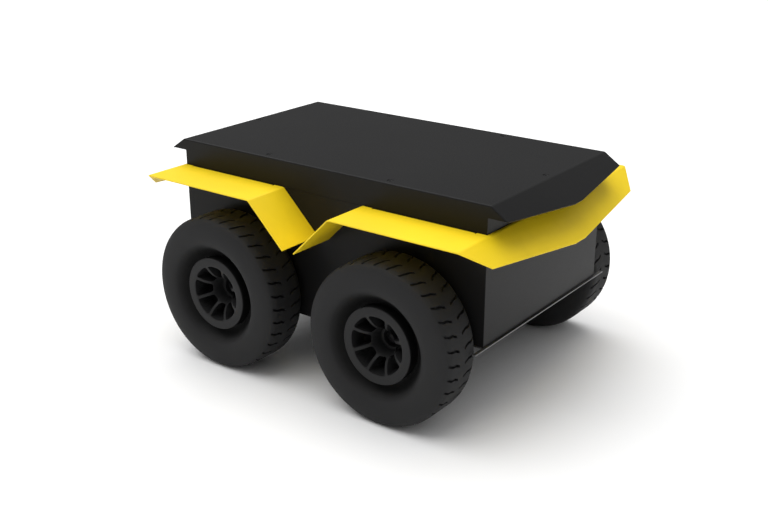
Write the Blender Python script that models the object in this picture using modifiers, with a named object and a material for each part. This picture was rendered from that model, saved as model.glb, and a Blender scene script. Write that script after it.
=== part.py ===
"""Four-wheel robot chassis: a sheet-metal box body on four driven, puncture-proof wheels.

Metres, +Z up, +X is the front, +Y is the left side. The origin is on the floor under the middle
of the body. Every separate piece is one object; each wheel turns about an empty on its axle line.
"""
import math

import bmesh
import bpy
from mathutils import Vector

# ---------------------------------------------------------------- driving dimensions
DECK_HEIGHT = 0.3535            # floor to the flat top of the cover
COVER_WIDTH = 0.355
COVER_FLAT_LENGTH = 0.610       # flat part of the cover, between its two sloping ends
SHEET = 0.002                   # cover, fenders and deck frame
TUB_SHEET = 0.0025
GAP = 0.0003                    # between pieces that touch

WHEELBASE = 0.332
WHEEL_RADIUS = 0.1295
TYRE_WIDTH = 0.085
WHEEL_CENTRE_Y = 0.2245
AXLE_HEIGHT = WHEEL_RADIUS
WHEEL_STEPS = 48

# cover: depths are below the flat top, lengths from the middle of the body
BEAK_CORNER = (0.3328, COVER_WIDTH / 2, 0.0189)
BEAK_TIP = (0.3511, 0.0116, 0.0312)
SKIRT_DEPTH = 0.0439

# tub
TUB_HALF_LENGTH = 0.3005
TUB_END_DEPTH = 0.219           # underside of the raised ends, below the deck
TUB_MID_DEPTH = 0.258           # underside of the dropped middle, which holds the drive
TUB_STEP_X = 0.205

# fenders: two folded sheets, front and rear
FENDER_OUTER_Y = 0.2616
FENDER_INNER_CREASE_X = 0.0791
FENDER_END_CREASE_X = 0.3044
FENDER_TIP = (0.0104, 0.112)    # lower edge of the inclined panel: distance from middle, depth
BUMPER_CORNER = (0.3371, 0.2192)
BUMPER_TIP = (0.3584, 0.0155)
BUMPER_TIP_DEPTH = 0.0908
FLANGE_X = (0.102, 0.281)
FLANGE_HEIGHT = 0.022

# bare-metal skid plate under each raised end, with a narrow lip that is wider than the body
SKID_THICKNESS = 0.002
SKID_FRONT_X = 0.304
SKID_LIP_BACK_X = 0.2985
SKID_LIP_HALF_WIDTH = 0.205

# deck frame
FRAME_HALF_LENGTH = 0.2960
FRAME_FLANGE = 0.024
FRAME_DEPTH = 0.064

# fasteners
SCREW_PLACES = [(0.293, 0.0), (-0.293, 0.0),
                (0.121, 0.163), (0.121, -0.163), (-0.121, 0.163), (-0.121, -0.163)]
SCREW_HEAD_RADIUS = 0.0045
SCREW_HEAD_HEIGHT = 0.0018
SCREW_SHANK_RADIUS = 0.0025
SCREW_LENGTH = 0.012
BOLT_X = (0.130, 0.250)
BOLT_DEPTH = 0.056
BOLT_HEAD_RADIUS = 0.0048
BOLT_HEAD_HEIGHT = 0.0028
BOLT_LENGTH = 0.014
SCREW_STEPS = 10
HOLE_STEPS = 8
ROUND_STEPS = 16

# wheel, measured outwards from its middle plane
TYRE_SIDE = [(0.1262, 0.0352), (0.1180, 0.0398), (0.1, TYRE_WIDTH / 2), (0.0885, 0.0410),
             (0.0810, 0.0345), (0.0740, 0.0245), (0.0670, 0.0165)]
TREAD_HALF_WIDTH = 0.027
RIM_FLANGE_RADIUS = 0.0614
RIM_FLANGE_Y = 0.0335
RIM_SHOULDER = 0.019            # depth of the ring on each side, down to the tyre's seat
RIM_BARREL_RADIUS = 0.0515
RIM_WALL = 0.0038
RIB_COUNT = 8
RIB_HALF_WIDTH = 0.0023
RIB_INNER_RADIUS = 0.0240       # inner end of the openings between ribs
RIM_FUNNEL = [(0.0200, 0.0080), (0.0242, 0.0189), (0.0337, 0.0274)]   # outer edges of the ribs
RIM_WEB_INNER = (0.004, -0.010)  # inner edges of the ribs, at the barrel and at the boss
RIM_BOSS_RADIUS = 0.0235
RIM_BOSS_LIP_RADIUS = 0.0185
RIM_BOSS_FRONT = -0.0045
RIM_BOSS_BACK = -0.026
RIM_BORE_RADIUS = 0.0145
HUB_FRONT = -0.016
HUB_FLANGE_RADIUS = 0.020
HUB_FLANGE = 0.005
SHAFT_RADIUS = 0.008
STUD_RADIUS = 0.006             # threaded end of the shaft, inside the nut
STUD_END = -0.008
NUT_RADIUS = 0.0125
NUT_HEIGHT = 0.0072
BEARING_RADIUS = 0.024
GEARBOX_RADIUS = 0.021
MOTOR_RADIUS = 0.019

# derived
HALF_WIDTH = COVER_WIDTH / 2
HALF_FLAT = COVER_FLAT_LENGTH / 2
TUB_TOP = DECK_HEIGHT - SKIRT_DEPTH - GAP
END_FLOOR = DECK_HEIGHT - TUB_END_DEPTH
MID_FLOOR = DECK_HEIGHT - TUB_MID_DEPTH
WALL_INNER_Y = HALF_WIDTH - TUB_SHEET
SHAFT_INNER_Y = 0.158           # where the drive shaft ends inside the gearbox
AXLE_X = WHEELBASE / 2


# ---------------------------------------------------------------- scene and materials
def clear_scene():
    for old in list(bpy.data.objects):
        bpy.data.objects.remove(old, do_unlink=True)


def new_collection(name):
    collection = bpy.data.collections.new(name)
    bpy.context.scene.collection.children.link(collection)
    return collection


def material(name, colour, roughness, metallic=0.0):
    made = bpy.data.materials.new(name)
    made.use_nodes = True
    shader = made.node_tree.nodes["Principled BSDF"]
    shader.inputs["Base Color"].default_value = (*colour, 1.0)
    shader.inputs["Roughness"].default_value = roughness
    shader.inputs["Metallic"].default_value = metallic
    made.diffuse_color = (*colour, 1.0)
    return made


clear_scene()
ROBOT = new_collection("four_wheel_chassis")
CUTTERS = new_collection("cutters")

BLACK_PAINT = material("black_powder_coat", (0.022, 0.022, 0.023), 0.55)
YELLOW_PAINT = material("yellow_powder_coat", (0.90, 0.62, 0.02), 0.42)
BARE_METAL = material("bare_aluminium", (0.62, 0.63, 0.65), 0.35, 1.0)
ZINC = material("zinc_steel", (0.55, 0.56, 0.58), 0.32, 1.0)
DARK_STEEL = material("black_oxide_steel", (0.035, 0.035, 0.038), 0.4, 0.8)
RUBBER = material("tyre_rubber", (0.025, 0.025, 0.026), 0.8)
RIM_PLASTIC = material("rim_plastic", (0.02, 0.02, 0.021), 0.42)
BATTERY_CASE = material("battery_case", (0.05, 0.07, 0.12), 0.5)
BOX_PLASTIC = material("box_plastic", (0.12, 0.12, 0.13), 0.55)
STRAP_WEB = material("strap_web", (0.03, 0.03, 0.03), 0.9)


# ---------------------------------------------------------------- modelling helpers
def place(name, mesh, mat, location=(0, 0, 0), rotation=(0, 0, 0), parent=None):
    """Puts a mesh in the robot as one named piece."""
    if mat.name not in mesh.materials:
        mesh.materials.clear()
        mesh.materials.append(mat)
    piece = bpy.data.objects.new(name, mesh)
    ROBOT.objects.link(piece)
    piece.location = location
    piece.rotation_euler = rotation
    piece.parent = parent
    return piece


def mesh_from(bm, name):
    bmesh.ops.recalc_face_normals(bm, faces=bm.faces)
    mesh = bpy.data.meshes.new(name)
    bm.to_mesh(mesh)
    bm.free()
    return mesh


def box_mesh(name, low, high):
    """A box between two corners."""
    low, high = Vector(low), Vector(high)
    size = high - low
    bm = bmesh.new()
    bmesh.ops.create_cube(bm, size=1.0)
    bmesh.ops.scale(bm, vec=size, verts=bm.verts)
    bmesh.ops.translate(bm, vec=(low + high) / 2, verts=bm.verts)
    return mesh_from(bm, name)


def prism_mesh(name, outline, axis, start, end):
    """A flat outline pushed along Y or Z; the outline's points are the other two coordinates."""
    def corner(point, along):
        if axis == "Y":
            return (point[0], along, point[1])
        return (point[0], point[1], along)
    bm = bmesh.new()
    face = bm.faces.new([bm.verts.new(corner(point, start)) for point in outline])
    pushed = bmesh.ops.extrude_face_region(bm, geom=[face])
    moved = [item for item in pushed["geom"] if isinstance(item, bmesh.types.BMVert)]
    travel = Vector(corner((0, 0), end - start))
    bmesh.ops.translate(bm, vec=travel, verts=moved)
    return mesh_from(bm, name)


def rod_mesh(name, radius, start, end, steps):
    """A round bar along Z."""
    bm = bmesh.new()
    bmesh.ops.create_cone(bm, cap_ends=True, segments=steps, radius1=radius, radius2=radius,
                          depth=end - start)
    bmesh.ops.translate(bm, vec=(0, 0, (start + end) / 2), verts=bm.verts)
    return mesh_from(bm, name)


def hull_mesh(name, points):
    bm = bmesh.new()
    for point in points:
        bm.verts.new(point)
    made = bmesh.ops.convex_hull(bm, input=bm.verts)
    bmesh.ops.delete(bm, geom=made["geom_interior"], context="VERTS")
    bmesh.ops.dissolve_limit(bm, angle_limit=math.radians(0.5), verts=bm.verts, edges=bm.edges)
    return mesh_from(bm, name)


def helper_object(mesh):
    """An object outside the robot, used to shape another one."""
    helper = bpy.data.objects.new(mesh.name, mesh)
    CUTTERS.objects.link(helper)
    helper.hide_render = True
    helper.display_type = "WIRE"
    return helper


def turned_mesh(name, profile, steps, closed=False):
    """Turns (radius, height) points about Z; they run down the outer side from top to bottom."""
    mesh = bpy.data.meshes.new(name + "_profile")
    count = len(profile)
    edges = [(i, i + 1) for i in range(count - 1)]
    if closed:
        edges.append((count - 1, 0))
    mesh.from_pydata([(radius, 0.0, height) for radius, height in profile], edges, [])
    helper = helper_object(mesh)
    screw = helper.modifiers.new("turn", "SCREW")
    screw.axis = "Z"
    screw.steps = steps
    screw.render_steps = steps
    screw.use_merge_vertices = True
    screw.merge_threshold = 0.00001
    return applied(helper, name)


def applied(helper, name):
    """The finished mesh of a helper object, which is removed with its cutters."""
    cutters = [mod.object for mod in helper.modifiers if mod.type == "BOOLEAN"]
    bpy.context.view_layer.update()
    graph = bpy.context.evaluated_depsgraph_get()
    mesh = bpy.data.meshes.new_from_object(helper.evaluated_get(graph))
    mesh.name = name
    for used in [helper] + cutters:
        bpy.data.objects.remove(used, do_unlink=True)
    return mesh


def cut(target, cutter_mesh, operation="DIFFERENCE", location=(0, 0, 0), rotation=(0, 0, 0)):
    cutter = helper_object(cutter_mesh)
    cutter.location = location
    cutter.rotation_euler = rotation
    boolean = target.modifiers.new("cut", "BOOLEAN")
    boolean.operation = operation
    boolean.solver = "EXACT"
    boolean.object = cutter


def round_off(mesh, angle=35):
    """Smooth shading that keeps the real edges sharp."""
    mesh.shade_smooth()
    mesh.set_sharp_from_angle(angle=math.radians(angle))
    return mesh


def side_turn(side):
    """Rotation that points a turned piece's Z out of the left (+1) or right (-1) side."""
    return (-side * math.pi / 2, 0, 0)


def below_deck(depth):
    return DECK_HEIGHT - depth


# ---------------------------------------------------------------- body
def beak_points(inset):
    """Corners of the top with its two beaks, moved inwards by the inset."""
    points = []
    for end in (-1, 1):
        for side in (-1, 1):
            points.append((end * (HALF_FLAT - inset * 0.3), side * (HALF_WIDTH - inset),
                           DECK_HEIGHT - inset))
            for x, y, depth in (BEAK_CORNER, BEAK_TIP):
                y_in = y - inset if y > HALF_WIDTH / 2 else y
                points.append((end * (x - inset * 2.2), side * y_in, below_deck(depth) + inset))
    return points


def screw_cutter_profile():
    """Outline of a countersunk screw with clearance, running past the sheet on both sides."""
    head = SCREW_HEAD_RADIUS + GAP
    shank = SCREW_SHANK_RADIUS + GAP
    return [(0, 0.002), (head, 0.002), (head, -GAP), (shank, -SCREW_HEAD_HEIGHT - GAP),
            (shank, -0.03), (0, -0.03)]


def build_cover():
    cover = place("top_cover", hull_mesh("top_cover", beak_points(0.0)), BLACK_PAINT)
    skirt = box_mesh("skirt", (-TUB_HALF_LENGTH, -HALF_WIDTH, below_deck(SKIRT_DEPTH)),
                     (TUB_HALF_LENGTH, HALF_WIDTH, DECK_HEIGHT))
    cut(cover, skirt, "UNION")
    inside = box_mesh("cover_inside",
                      (SHEET - TUB_HALF_LENGTH, SHEET - HALF_WIDTH, below_deck(SKIRT_DEPTH + 0.01)),
                      (TUB_HALF_LENGTH - SHEET, HALF_WIDTH - SHEET, DECK_HEIGHT - SHEET))
    cut(cover, hull_mesh("beak_inside", beak_points(SHEET)))
    cut(cover, inside)
    for x, y in SCREW_PLACES:
        cutter = turned_mesh("cover_screw_hole", screw_cutter_profile(), HOLE_STEPS)
        cut(cover, cutter, location=(x, y, DECK_HEIGHT))


def build_deck_frame():
    top = DECK_HEIGHT - SHEET - GAP
    half_y = WALL_INNER_Y - GAP
    bottom = DECK_HEIGHT - FRAME_DEPTH
    frame = place("deck_frame", box_mesh("deck_frame", (-FRAME_HALF_LENGTH, -half_y, bottom),
                                         (FRAME_HALF_LENGTH, half_y, top)), DARK_STEEL)
    inner_x, inner_y = FRAME_HALF_LENGTH - SHEET, half_y - SHEET
    cut(frame, box_mesh("frame_inside", (-inner_x, -inner_y, bottom - 0.01),
                        (inner_x, inner_y, top - SHEET)))
    open_x, open_y = FRAME_HALF_LENGTH - FRAME_FLANGE, half_y - FRAME_FLANGE
    cut(frame, box_mesh("frame_window", (-open_x, -open_y, top - 0.01), (open_x, open_y, top + 0.01)))
    for x, y in SCREW_PLACES:
        hole = rod_mesh("frame_screw_hole", SCREW_SHANK_RADIUS + GAP, -0.01, 0.01, HOLE_STEPS)
        cut(frame, hole, location=(x, y, top))
    for x in BOLT_X:
        for end in (-1, 1):
            for side in (-1, 1):
                cut(frame, rod_mesh("frame_bolt_hole", 0.0035, -0.006, 0.006, HOLE_STEPS),
                    location=(end * x, side * half_y, below_deck(BOLT_DEPTH)),
                    rotation=side_turn(side))


def tub_outline(inset, top):
    """Side view of the tub: raised ends and a dropped middle, moved inwards by the inset."""
    long = TUB_HALF_LENGTH - inset
    step = TUB_STEP_X - inset
    ends = END_FLOOR + inset
    middle = MID_FLOOR + inset
    half = [(step, middle), (step, ends), (long, ends), (long, top)]
    return [(-x, z) for x, z in reversed(half)] + half


def build_tub():
    outside = prism_mesh("tub", tub_outline(0.0, TUB_TOP), "Y", -HALF_WIDTH, HALF_WIDTH)
    tub = place("tub", outside, BLACK_PAINT)
    cut(tub, prism_mesh("tub_inside", tub_outline(TUB_SHEET, TUB_TOP + 0.01), "Y",
                        -WALL_INNER_Y, WALL_INNER_Y))
    for end in (-1, 1):
        for side in (-1, 1):
            cut(tub, rod_mesh("axle_hole", SHAFT_RADIUS + 0.002, -0.008, 0.008, ROUND_STEPS),
                location=(end * AXLE_X, side * HALF_WIDTH, AXLE_HEIGHT), rotation=side_turn(side))
            for x in BOLT_X:
                cut(tub, rod_mesh("bolt_hole", SCREW_SHANK_RADIUS + GAP, -0.008, 0.008, HOLE_STEPS),
                    location=(end * x, side * HALF_WIDTH, below_deck(BOLT_DEPTH)),
                    rotation=side_turn(side))


def build_skid_plates():
    inner_x = TUB_STEP_X + GAP
    half = [(inner_x, HALF_WIDTH), (SKID_LIP_BACK_X, HALF_WIDTH),
            (SKID_LIP_BACK_X, SKID_LIP_HALF_WIDTH), (SKID_FRONT_X, SKID_LIP_HALF_WIDTH)]
    outline = half + [(x, -y) for x, y in reversed(half)]
    top = END_FLOOR - GAP
    mesh = prism_mesh("skid_plate", outline, "Z", top - SKID_THICKNESS, top)
    place("skid_plate_front", mesh, BARE_METAL)
    place("skid_plate_rear", mesh, BARE_METAL, rotation=(0, 0, math.pi))


def build_cover_screws():
    head, shank = SCREW_HEAD_RADIUS, SCREW_SHANK_RADIUS
    profile = [(0, -0.0001), (head, -0.0001), (shank, -SCREW_HEAD_HEIGHT),
               (shank, -SCREW_LENGTH), (0, -SCREW_LENGTH)]
    mesh = round_off(turned_mesh("cover_screw", profile, SCREW_STEPS))
    for number, (x, y) in enumerate(SCREW_PLACES, start=1):
        place(f"cover_screw_{number}", mesh, DARK_STEEL, location=(x, y, DECK_HEIGHT))


# ---------------------------------------------------------------- fenders
def bumper_depth(x):
    """Depth of the sloping bumper panel at a distance from the middle of the body."""
    slope = (BUMPER_TIP_DEPTH - SKIRT_DEPTH) / (BUMPER_TIP[0] - FENDER_END_CREASE_X)
    return SKIRT_DEPTH + (x - FENDER_END_CREASE_X) * slope


def fender_surface():
    """Upper surface of the folded sheet's left half, one face for each flat panel."""
    bm = bmesh.new()
    inner_y = HALF_WIDTH + GAP
    back_x = TUB_HALF_LENGTH + GAP
    flat = SKIRT_DEPTH

    def point(x, y, depth):
        return bm.verts.new((x, y, below_deck(depth)))

    crease_in = point(FENDER_INNER_CREASE_X, inner_y, flat)
    crease_out = point(FENDER_INNER_CREASE_X, FENDER_OUTER_Y, flat)
    flange_a = point(FLANGE_X[0], inner_y, flat)
    flange_b = point(FLANGE_X[1], inner_y, flat)
    corner = point(back_x, inner_y, flat)
    end_out = point(FENDER_END_CREASE_X, FENDER_OUTER_Y, flat)
    end_in = point(FENDER_END_CREASE_X, inner_y, flat)
    end_middle = point(FENDER_END_CREASE_X, 0.0, flat)
    back_middle = point(back_x, 0.0, flat)
    tip_out = point(FENDER_TIP[0], FENDER_OUTER_Y, FENDER_TIP[1])
    tip_in = point(FENDER_TIP[0], inner_y, FENDER_TIP[1])
    bumper_out = point(*BUMPER_CORNER, bumper_depth(BUMPER_CORNER[0]))
    bumper_tip = point(*BUMPER_TIP, BUMPER_TIP_DEPTH)
    bumper_middle = point(BUMPER_TIP[0], 0.0, BUMPER_TIP_DEPTH)
    flange_a_low = point(FLANGE_X[0], inner_y, flat + FLANGE_HEIGHT)
    flange_b_low = point(FLANGE_X[1], inner_y, flat + FLANGE_HEIGHT)

    bm.faces.new((crease_in, flange_a, flange_b, corner, end_in, end_out, crease_out))
    bm.faces.new((corner, back_middle, end_middle, end_in))
    bm.faces.new((tip_in, crease_in, crease_out, tip_out))
    bm.faces.new((end_middle, bumper_middle, bumper_tip, bumper_out, end_out, end_in))
    bm.faces.new((flange_b, flange_a, flange_a_low, flange_b_low))
    mesh = bpy.data.meshes.new("fender_surface")
    bm.normal_update()
    bm.to_mesh(mesh)
    bm.free()
    return mesh


def fender_mesh():
    sheet = helper_object(fender_surface())
    mirror = sheet.modifiers.new("both_sides", "MIRROR")
    mirror.use_axis = (False, True, False)
    mirror.use_clip = True
    mirror.merge_threshold = 0.00001
    solid = sheet.modifiers.new("thickness", "SOLIDIFY")
    solid.thickness = SHEET
    solid.offset = -1.0
    solid.use_even_offset = True
    for side in (-1, 1):
        for x in BOLT_X:
            cut(sheet, rod_mesh("flange_hole", SCREW_SHANK_RADIUS + GAP, -0.006, 0.006, HOLE_STEPS),
                location=(x, side * HALF_WIDTH, below_deck(BOLT_DEPTH)), rotation=side_turn(side))
    return applied(sheet, "fender")


def build_fenders():
    mesh = fender_mesh()
    place("front_fender", mesh, YELLOW_PAINT)
    place("rear_fender", mesh, YELLOW_PAINT, rotation=(0, 0, math.pi))


def build_fender_bolts():
    """Button-head bolts through each fender flange into the tub's side walls."""
    under = HALF_WIDTH + GAP + SHEET + GAP
    head, shank = BOLT_HEAD_RADIUS, SCREW_SHANK_RADIUS
    high = BOLT_HEAD_HEIGHT
    profile = [(0, high), (head * 0.6, high), (head, high * 0.45), (head, 0),
               (shank, 0), (shank, -BOLT_LENGTH), (0, -BOLT_LENGTH)]
    mesh = round_off(turned_mesh("fender_bolt", profile, SCREW_STEPS))
    for end, end_name in ((1, "front"), (-1, "rear")):
        for side, side_name in ((1, "left"), (-1, "right")):
            for number, x in enumerate(BOLT_X, start=1):
                place(f"fender_bolt_{end_name}_{side_name}_{number}", mesh, ZINC,
                      location=(end * x, side * under, below_deck(BOLT_DEPTH)),
                      rotation=side_turn(side))


# ---------------------------------------------------------------- wheels
def tyre_profile():
    """Section of a solid foam tyre: flat tread, bulging side walls and a deep groove at the rim."""
    seat = RIM_FLANGE_Y - RIM_SHOULDER - GAP
    outer_half = [(WHEEL_RADIUS, TREAD_HALF_WIDTH), *TYRE_SIDE,
                  (RIM_FLANGE_RADIUS + 0.0014, seat), (RIM_BARREL_RADIUS + GAP, seat)]
    return list(reversed(outer_half)) + [(radius, -y) for radius, y in outer_half]


def rim_profile():
    """Barrel with a deep ring on each side, a dished web and a funnel down to the hub's boss."""
    flange, edge = RIM_FLANGE_RADIUS, RIM_FLANGE_Y
    barrel, seat = RIM_BARREL_RADIUS, RIM_FLANGE_Y - RIM_SHOULDER
    inside = barrel - RIM_WALL
    boss, bore = RIM_BOSS_RADIUS, RIM_BORE_RADIUS
    return [(flange, edge), (flange, seat), (barrel, seat), (barrel, -seat), (flange, -seat),
            (flange, -edge), (inside, -edge), (inside, RIM_WEB_INNER[0]), (boss, RIM_WEB_INNER[1]),
            (boss, RIM_BOSS_BACK), (bore, RIM_BOSS_BACK), (bore, RIM_BOSS_FRONT),
            (RIM_BOSS_LIP_RADIUS, RIM_BOSS_FRONT), *RIM_FUNNEL, (inside, edge)]


def rib_window(bm, turn):
    """One opening between two thin ribs, with its outer corners cut off towards the ring."""
    spread = math.pi / RIB_COUNT
    near, far = RIB_INNER_RADIUS, RIM_BARREL_RADIUS - RIM_WALL - 0.0014
    corner = far - 0.005
    near_angle = spread - math.asin(RIB_HALF_WIDTH / near)
    corner_angle = spread - math.asin(RIB_HALF_WIDTH / corner)
    far_angle = corner_angle - 0.005 / far
    outline = [(near, -near_angle), (near, near_angle), (corner, corner_angle), (far, far_angle),
               (far, far_angle / 3), (far, -far_angle / 3), (far, -far_angle), (corner, -corner_angle)]
    turned = [(radius, angle + turn) for radius, angle in outline]
    made = bm.faces.new([bm.verts.new((r * math.cos(a), r * math.sin(a), -0.04)) for r, a in turned])
    pushed = bmesh.ops.extrude_face_region(bm, geom=[made])
    moved = [item for item in pushed["geom"] if isinstance(item, bmesh.types.BMVert)]
    bmesh.ops.translate(bm, vec=(0, 0, 0.08), verts=moved)


def rim_mesh():
    rim = helper_object(turned_mesh("rim", rim_profile(), WHEEL_STEPS, closed=True))
    bm = bmesh.new()
    for number in range(RIB_COUNT):
        rib_window(bm, 2 * math.pi * number / RIB_COUNT)
    cut(rim, mesh_from(bm, "rim_windows"))
    return applied(rim, "rim")


def hub_profile():
    """Steel hub: a sleeve inside the rim's boss and a flange against the boss's inner side."""
    sleeve, bore = RIM_BORE_RADIUS - GAP, SHAFT_RADIUS + GAP
    flange_top = RIM_BOSS_BACK - GAP
    flange_low = flange_top - HUB_FLANGE
    return [(sleeve, HUB_FRONT), (sleeve, flange_top), (HUB_FLANGE_RADIUS, flange_top),
            (HUB_FLANGE_RADIUS, flange_low), (bore, flange_low), (bore, HUB_FRONT)]


def shaft_profile():
    """Drive shaft that steps down to a stud, which ends a little way beyond the nut."""
    inner = SHAFT_INNER_Y - WHEEL_CENTRE_Y
    shoulder = HUB_FRONT - GAP
    chamfer = 0.0007
    return [(0, STUD_END), (STUD_RADIUS - chamfer, STUD_END), (STUD_RADIUS, STUD_END - chamfer),
            (STUD_RADIUS, shoulder), (SHAFT_RADIUS, shoulder), (SHAFT_RADIUS, inner), (0, inner)]


def nut_mesh():
    """Hexagon nut with its bore clear of the stud."""
    bm = bmesh.new()
    bmesh.ops.create_cone(bm, cap_ends=True, segments=6, radius1=NUT_RADIUS, radius2=NUT_RADIUS,
                          depth=NUT_HEIGHT)
    bmesh.ops.translate(bm, vec=(0, 0, HUB_FRONT + GAP + NUT_HEIGHT / 2), verts=bm.verts)
    nut = helper_object(mesh_from(bm, "axle_nut"))
    cut(nut, rod_mesh("nut_bore", STUD_RADIUS + GAP, -0.02, 0.02, ROUND_STEPS))
    return applied(nut, "axle_nut")


def build_wheels():
    pieces = {
        "tyre": (round_off(turned_mesh("tyre", tyre_profile(), WHEEL_STEPS, closed=True)), RUBBER),
        "rim": (round_off(rim_mesh()), RIM_PLASTIC),
        "hub": (round_off(turned_mesh("hub", hub_profile(), ROUND_STEPS, closed=True)), DARK_STEEL),
        "drive_shaft": (round_off(turned_mesh("shaft", shaft_profile(), ROUND_STEPS)), DARK_STEEL),
        "axle_nut": (nut_mesh(), DARK_STEEL),
    }
    for end, end_name in ((1, "front"), (-1, "rear")):
        for side, side_name in ((1, "left"), (-1, "right")):
            corner = f"{end_name}_{side_name}"
            axle = bpy.data.objects.new(f"axle_line_{corner}", None)
            ROBOT.objects.link(axle)
            axle.location = (end * AXLE_X, side * WHEEL_CENTRE_Y, AXLE_HEIGHT)
            axle.rotation_euler = side_turn(side)
            for name, (mesh, mat) in pieces.items():
                place(f"{name}_{corner}", mesh, mat, parent=axle)


# ---------------------------------------------------------------- drive and electrics
def gearmotor_profile():
    """Gearbox with a shaft socket, the motor can and its rear cap, from the wall inwards."""
    face = WALL_INNER_Y - GAP
    socket = SHAFT_RADIUS + GAP
    floor = SHAFT_INNER_Y - 0.001
    return [(0, floor), (socket, floor), (socket, face), (GEARBOX_RADIUS, face),
            (GEARBOX_RADIUS, 0.120), (MOTOR_RADIUS, 0.1195), (MOTOR_RADIUS, 0.058),
            (0.0135, 0.0575), (0.0135, 0.046), (0, 0.046)]


def bearing_profile():
    """Flanged bearing housing on the outside of the tub wall, around the drive shaft."""
    wall = HALF_WIDTH + GAP
    bore = SHAFT_RADIUS + GAP
    return [(0.0155, wall + 0.0125), (0.0155, wall + 0.005), (BEARING_RADIUS, wall + 0.005),
            (BEARING_RADIUS, wall), (bore, wall), (bore, wall + 0.0125)]


def build_drives():
    motor = round_off(turned_mesh("gearmotor", gearmotor_profile(), ROUND_STEPS))
    bearing = round_off(turned_mesh("axle_bearing", bearing_profile(), ROUND_STEPS, closed=True))
    for end, end_name in ((1, "front"), (-1, "rear")):
        for side, side_name in ((1, "left"), (-1, "right")):
            corner = f"{end_name}_{side_name}"
            centre = (end * AXLE_X, 0, AXLE_HEIGHT)
            place(f"gearmotor_{corner}", motor, DARK_STEEL, centre, side_turn(side))
            place(f"axle_bearing_{corner}", bearing, DARK_STEEL, centre, side_turn(side))


def build_motor_cradles():
    floor = MID_FLOOR + TUB_SHEET + GAP
    half_x, half_y = 0.027, 0.160
    for end, end_name in ((1, "front"), (-1, "rear")):
        low = (end * AXLE_X - half_x, -half_y, floor)
        high = (end * AXLE_X + half_x, half_y, AXLE_HEIGHT)
        name = f"motor_cradle_{end_name}"
        cradle = place(name, box_mesh(name, low, high), BARE_METAL)
        groove = rod_mesh("cradle_groove", GEARBOX_RADIUS + GAP, -0.2, 0.2, ROUND_STEPS)
        cut(cradle, groove, location=(end * AXLE_X, 0, AXLE_HEIGHT), rotation=side_turn(1))


def build_battery():
    floor = MID_FLOOR + TUB_SHEET + GAP
    tray_x, tray_y, tray_wall, tray_high = 0.095, 0.075, 0.0015, 0.022
    tray = place("battery_tray", box_mesh("battery_tray", (-tray_x, -tray_y, floor),
                                          (tray_x, tray_y, floor + tray_high)), BARE_METAL)
    cut(tray, box_mesh("tray_inside", (tray_wall - tray_x, tray_wall - tray_y, floor + tray_wall),
                       (tray_x - tray_wall, tray_y - tray_wall, floor + 0.05)))
    base = floor + tray_wall + GAP
    case_x = tray_x - tray_wall - 0.0008
    case_y = tray_y - tray_wall - 0.0008
    top = base + 0.095
    place("battery", box_mesh("battery", (-case_x, -case_y, base), (case_x, case_y, top)),
          BATTERY_CASE)
    strap_y, strap_half, strap_thick = tray_y + 0.0006, 0.0125, 0.0018
    outer = strap_y + strap_thick
    outline = [(-outer, floor), (-strap_y, floor), (-strap_y, top + GAP), (strap_y, top + GAP),
               (strap_y, floor), (outer, floor), (outer, top + GAP + strap_thick),
               (-outer, top + GAP + strap_thick)]
    strap = prism_mesh("battery_strap", outline, "Y", -strap_half, strap_half)
    place("battery_strap", strap, STRAP_WEB, rotation=(0, 0, math.pi / 2))


def build_boxes():
    """Controllers, computer and fuse block, standing on the raised end floors."""
    base = END_FLOOR + TUB_SHEET + GAP
    boxes = {
        "motor_controller_front": ((0.212, 0.020), (0.288, 0.150), 0.045),
        "motor_controller_rear": ((-0.288, -0.150), (-0.212, -0.020), 0.045),
        "computer": ((0.212, -0.150), (0.288, -0.010), 0.060),
        "fuse_block": ((-0.280, 0.030), (-0.220, 0.120), 0.035),
    }
    for name, (low, high, height) in boxes.items():
        piece = place(name, box_mesh(name, (*low, base), (*high, base + height)), BOX_PLASTIC)
        edge = piece.modifiers.new("edges", "BEVEL")
        edge.width = 0.003
        edge.segments = 2


build_cover()
build_deck_frame()
build_tub()
build_skid_plates()
build_cover_screws()
build_fenders()
build_fender_bolts()
build_wheels()
build_drives()
build_motor_cradles()
build_battery()
build_boxes()
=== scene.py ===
"""Looks of the four-wheel robot chassis: detailed wheels, folded sheet metal and its finishes.

Metres, +Z up, +X is the front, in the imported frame. Turned pieces are made about Z and then laid
on their axle line with Z pointing out of the robot's side.
"""

import math

import bmesh
import bpy
from mathutils import Matrix, Vector


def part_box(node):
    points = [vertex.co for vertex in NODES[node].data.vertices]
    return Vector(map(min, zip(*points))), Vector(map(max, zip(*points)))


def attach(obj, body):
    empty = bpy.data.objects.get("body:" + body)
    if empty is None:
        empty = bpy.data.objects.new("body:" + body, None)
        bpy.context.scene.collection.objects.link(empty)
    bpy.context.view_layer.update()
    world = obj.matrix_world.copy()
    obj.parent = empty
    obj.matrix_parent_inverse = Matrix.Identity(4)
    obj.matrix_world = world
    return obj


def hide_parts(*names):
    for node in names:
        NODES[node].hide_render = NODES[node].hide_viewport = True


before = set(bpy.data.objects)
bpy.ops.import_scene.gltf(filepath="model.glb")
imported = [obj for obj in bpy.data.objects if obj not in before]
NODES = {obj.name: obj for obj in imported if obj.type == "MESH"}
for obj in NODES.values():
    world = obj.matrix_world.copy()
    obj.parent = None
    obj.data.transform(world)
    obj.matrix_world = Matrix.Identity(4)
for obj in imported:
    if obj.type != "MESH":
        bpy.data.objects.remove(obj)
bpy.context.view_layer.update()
# name of each wheel's corner: its end (+1 is the front) and its side (+1 is the left)
CORNERS = {"front_left": (1, 1), "front_right": (1, -1),
           "rear_left": (-1, 1), "rear_right": (-1, -1)}

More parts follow.
